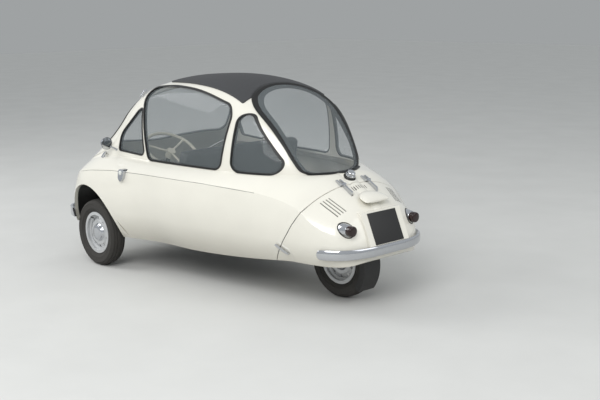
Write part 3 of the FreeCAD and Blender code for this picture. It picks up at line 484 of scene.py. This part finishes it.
# Rounded fairing over the number plate lamp: (x, half width, middle height, half height)
HOOD = ((-1.060, 0.018, 0.676, 0.004), (-1.074, 0.050, 0.673, 0.010), (-1.094, 0.080, 0.667, 0.0165),
        (-1.118, 0.096, 0.658, 0.0205), (-1.142, 0.101, 0.650, 0.0210),
        (-1.156, 0.102, 0.645, 0.0185), (-1.165, 0.101, 0.642, 0.0145),
        (-1.172, 0.096, 0.640, 0.009), (-1.175, 0.085, 0.639, 0.004))
hood = drawn_out("plate_lamp_hood", HOOD, "engine_lid", PAINT)
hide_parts("plate_lamp")

# Filler: rubber collar and a stepped bright cap
FILLER_AT = (-0.940, 0, 0.750)
DECK_WAY = (-0.486, 0.0, 0.874)
FILLER_COLLAR = [(0.038, -0.006), (0.038, 0.004), (0.034, 0.010), (0.029, 0.013)]
FILLER_TOP = [(0.028, 0.010), (0.031, 0.014), (0.031, 0.021), (0.024, 0.023), (0.024, 0.029),
              (0.026, 0.030), (0.026, 0.037), (0.022, 0.041), (0.010, 0.044)]
collar = turned("filler_collar", FILLER_COLLAR, FILLER_AT, DECK_WAY, "body", SEAL, 40)
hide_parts("filler_cap")
turned("filler_top", FILLER_TOP, FILLER_AT, DECK_WAY, "body", CHROME, 40)

# Painted shade: flat black strips just under the lid's skin, in the louvres and the deck slots, make
# the open slots read dark
SHADE_DEPTH, SHADE_RADIUS = 0.0042, 0.0034


def under_lid(x, y, beside):
    """Point under the lid's skin in a slot, from the skin at both sides of the slot."""
    left, right = (skin_point(["engine_lid"], (x, y + d, 1), (0, 0, -1)) for d in (beside, -beside))
    return (x, y, (left[0].z + right[0].z) / 2 - SHADE_DEPTH)


LOUVRE_FROM, LOUVRE_TO = (-0.998, 0.304), (-1.112, 0.273)
LOUVRE_STEP = (-0.0035, -0.0195)
for side_name, way in SIDES:
    for i in range(4):
        line = []
        for step in range(7):
            share = step / 6
            x, y = (a * (1 - share) + b * share + move * i
                    for a, b, move in zip(LOUVRE_FROM, LOUVRE_TO, LOUVRE_STEP))
            line.append(under_lid(x, way * y, way * 0.008))
        bead("louvre_painted_shade_%s_%d" % (side_name, i), line, SHADE_RADIUS, "engine_lid", SHADE_AND_JOINT_BLACK)
SLOT_FROM, SLOT_LENGTH, SLOT_PITCH = -1.006, 0.028, 0.018
for i in range(7):
    line = [under_lid(SLOT_FROM - SLOT_LENGTH * step / 5, (i - 3) * SLOT_PITCH, 0.0065)
            for step in range(6)]
    bead("deck_slot_painted_shade_%d" % i, line, SHADE_RADIUS, "engine_lid", SHADE_AND_JOINT_BLACK)


def lid_edge(start, step, way):
    """First place along a row of parallel lines where the lid is met, with the way it faces."""
    start, step = Vector(start), Vector(step)
    for i in range(160):
        met = skin_point(["engine_lid"], start + step * (i / 160), way)
        if met:
            return met
    return None


# Rubber strip in the shut line round the engine lid: up the left flank, over the deck, down the right
flank, over_deck = [], []
for i in range(13):
    met = lid_edge((-0.690, 1.2, 0.285 + 0.029 * i), (-0.32, 0, 0), (0, -1, 0))
    if met:
        flank.append(met[0] + Vector((0.0028, 0, 0)) - met[1] * 0.0032)
for i in range(23):
    met = lid_edge((-0.960, 0.297 - 0.027 * i, 1.2), (-0.08, 0, 0), (0, 0, -1))
    if met:
        over_deck.append(met[0] + Vector((0.0030, 0, 0)) - met[1] * 0.0026)
far_flank = [Vector((at.x, -at.y, at.z)) for at in reversed(flank)]
bead("lid_shut_strip", flank + over_deck + far_flank, 0.0025, "body", SHADE_AND_JOINT_BLACK)

# Fine joint between the two body pressings, as (x, z) along the flank
WAIST = ((1.060, 0.642), (0.850, 0.678), (0.600, 0.701), (0.300, 0.706), (0.0, 0.707),
         (-0.250, 0.706), (-0.740, 0.679))
PRESSINGS = ["body_shell", "body_upper", "rear_deck"]
for side_name, way in SIDES:
    line = []
    for (x0, z0), (x1, z1) in zip(WAIST, WAIST[1:]):
        for step in range(5):
            x, z = x0 + (x1 - x0) * step / 5, z0 + (z1 - z0) * step / 5
            met = skin_point(PRESSINGS, (x, way * 1.2, z), (0, -way, 0))
            if met:
                line.append(met[0] - met[1] * 0.0004)
    bead("waist_joint_" + side_name, line, 0.0013, "body", SEAL)

# Sewn seats: the cushions lie level, and the backs lean
FRONT_LEAN = math.atan2(0.104, 0.447)
REAR_LEAN = 0.12
FRONT_SEAMS, REAR_SEAMS = (-0.5, 0.0, 0.5), (-0.4, 0.4)
low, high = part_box("seat_cushion")
pad("front_cushion", low, high, FRONT_SEAMS, 0.010, 0.0, (low + high) / 2, "body", "seat_cushion")
low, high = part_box("seat_back")
pad("front_backrest", (-0.225, low.y, -0.040), (0.225, high.y, 0.040), FRONT_SEAMS, 0.012,
    math.pi / 2 - FRONT_LEAN, (low + high) / 2, "body", "seat_back")
low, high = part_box("rear_seat")
pad("rear_cushion", (low.x, low.y, 0.400), (high.x, high.y, 0.470), REAR_SEAMS, 0.008, 0.0,
    ((low.x + high.x) / 2, 0, 0.435), "body", "rear_seat")
pad("rear_backrest", (-0.085, low.y, -0.024), (0.085, high.y, 0.024), REAR_SEAMS, 0.006,
    math.pi / 2 - REAR_LEAN, (-0.408, 0, 0.562), "body", "rear_seat")

# Plain pale floor, soft light and the photograph's camera
bpy.ops.mesh.primitive_plane_add(size=60, location=(0, 0, 0))
floor = bpy.context.object
floor.data.materials.append(finish_of("pale floor", "#cfcfcc", 0.8, grain_mm=500.0))
floor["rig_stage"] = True
world = bpy.context.scene.world or bpy.data.worlds.new("world")
bpy.context.scene.world = world
world.use_nodes = True
sky = world.node_tree.nodes["Background"]
sky.inputs["Color"].default_value = colour("#dfe3e6")
sky.inputs["Strength"].default_value = 0.75
# The camera sees a backdrop in the tone of the far floor, so that no horizon shows
seen = add(world.node_tree, "ShaderNodeBackground", Color=colour("#9fa2a3"), Strength=1.0)
ray = add(world.node_tree, "ShaderNodeLightPath")
either = add(world.node_tree, "ShaderNodeMixShader")
links = world.node_tree.links
links.new(ray.outputs["Is Camera Ray"], either.inputs["Fac"])
links.new(sky.outputs["Background"], either.inputs[1])
links.new(seen.outputs["Background"], either.inputs[2])
links.new(either.outputs["Shader"], world.node_tree.nodes["World Output"].inputs["Surface"])
# Three large soft lamps, brightest from the left rear: (place, width, power)
MIDDLE = Vector((0, 0, 0.6))
LAMPS = (((-4, 6, 6), 5, 470), ((-7, -3, 5), 5, 130), ((5, 4, 5), 4, 220))
for at, size, power in LAMPS:
    bpy.ops.object.light_add(type="AREA", location=at)
    lamp = bpy.context.object
    lamp.data.size = size
    lamp.data.energy = power
    lamp.rotation_euler = (MIDDLE - Vector(at)).to_track_quat("-Z", "Y").to_euler()

# The camera: level view turned in plan, tipped down by the pitch, then rolled
turn, pitch, roll = (math.radians(v) for v in (CAMERA_TURN, CAMERA_PITCH, CAMERA_ROLL))
level = Vector((math.cos(turn), -math.sin(turn), 0))
side = Vector((-math.sin(turn), -math.cos(turn), 0))
upward = Vector((0, 0, 1))
ahead = math.cos(pitch) * level - math.sin(pitch) * upward
over = math.sin(pitch) * level + math.cos(pitch) * upward
right = math.cos(roll) * side + math.sin(roll) * over
top = -math.sin(roll) * side + math.cos(roll) * over
bpy.ops.object.camera_add()
camera = bpy.context.object
camera.data.sensor_width = 36.0
camera.data.lens = LENS_MM
camera.matrix_world = Matrix((
    (right.x, top.x, -ahead.x, CAMERA_AT[0]),
    (right.y, top.y, -ahead.y, CAMERA_AT[1]),
    (right.z, top.z, -ahead.z, CAMERA_AT[2]),
    (0, 0, 0, 1),
))
camera.data.clip_end = 100
bpy.context.scene.camera = camera
bpy.context.scene.view_settings.view_transform = "Standard"

low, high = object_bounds()
